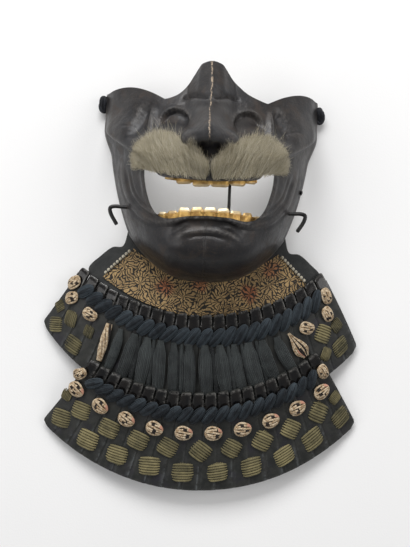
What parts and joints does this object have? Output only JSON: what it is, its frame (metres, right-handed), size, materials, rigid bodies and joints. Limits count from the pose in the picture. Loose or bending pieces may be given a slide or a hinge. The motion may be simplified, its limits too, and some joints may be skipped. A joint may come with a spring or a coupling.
{
  "type": "samurai face guard",
  "caption": "Lacquered iron half mask with moustache, gilt teeth and cord hooks, with a laced two-lame throat guard hanging from its chin.",
  "frame": {"origin": "middle of the footprint, on the surface that the piece lies on, face up", "axes": "+X to the right as seen from the front of the face, +Y from the chin towards the nose, +Z out of the face"},
  "size_m": [0.2456, 0.3228, 0.0961],
  "materials": {
    "lacquered_iron": "russet-black lacquered iron, satin, worn at the ridges",
    "hook_iron": "blackened iron wire",
    "gilding": "gilt, worn",
    "hair": "coarse animal hair, khaki grey",
    "black_lacquer": "black lacquer over hide scales, glossy heads",
    "blue_braid": "indigo silk braid, faded",
    "mixed_braid": "cream silk braid with pink and black threads",
    "tying_cord": "black twisted cord",
    "backing_leather": "dark smoked leather",
    "printed_leather": "stencilled ochre leather with a leaf scroll",
    "edging": "pale stitches"
  },
  "bodies": {
    "root": {"cheek_stud": "hook_iron", "cord_hook_left": "hook_iron", "cord_hook_right": "hook_iron", "ear_cord_left": "tying_cord", "ear_cord_right": "tying_cord", "edge_braid_left": "edging", "edge_braid_right": "edging", "edge_lacing_lower_left": "mixed_braid", "edge_lacing_lower_right": "mixed_braid", "edge_lacing_upper_left": "mixed_braid", "edge_lacing_upper_right": "mixed_braid", "face_plate": "lacquered_iron", "lacing_knot_01": "mixed_braid", "lacing_knot_02": "mixed_braid", "lacing_knot_03": "mixed_braid", "lacing_knot_04": "mixed_braid", "lacing_knot_05": "mixed_braid", "lacing_knot_06": "mixed_braid", "lacing_knot_07": "mixed_braid", "lacing_knot_08": "mixed_braid", "lacing_knot_09": "mixed_braid", "lacing_knot_10": "mixed_braid", "lame_lower": "black_lacquer", "lame_upper": "black_lacquer", "lower_teeth": "gilding", "moustache_left": "hair", "moustache_right": "hair", "mouth_pin": "hook_iron", "printed_leather": "printed_leather", "rope_lacing_lower": "blue_braid", "rope_lacing_upper": "blue_braid", "suspension_cord_01": "mixed_braid", "suspension_cord_02": "blue_braid", "suspension_cord_03": "blue_braid", "suspension_cord_04": "blue_braid", "suspension_cord_05": "blue_braid", "suspension_cord_06": "blue_braid", "suspension_cord_07": "blue_braid", "suspension_cord_08": "blue_braid", "suspension_cord_09": "blue_braid", "suspension_cord_10": "blue_braid", "suspension_cord_11": "blue_braid", "suspension_cord_12": "blue_braid", "suspension_cord_13": "blue_braid", "suspension_cord_14": "mixed_braid", "throat_leather": "backing_leather", "upper_teeth": "gilding"}
  },
  "joints": []
}
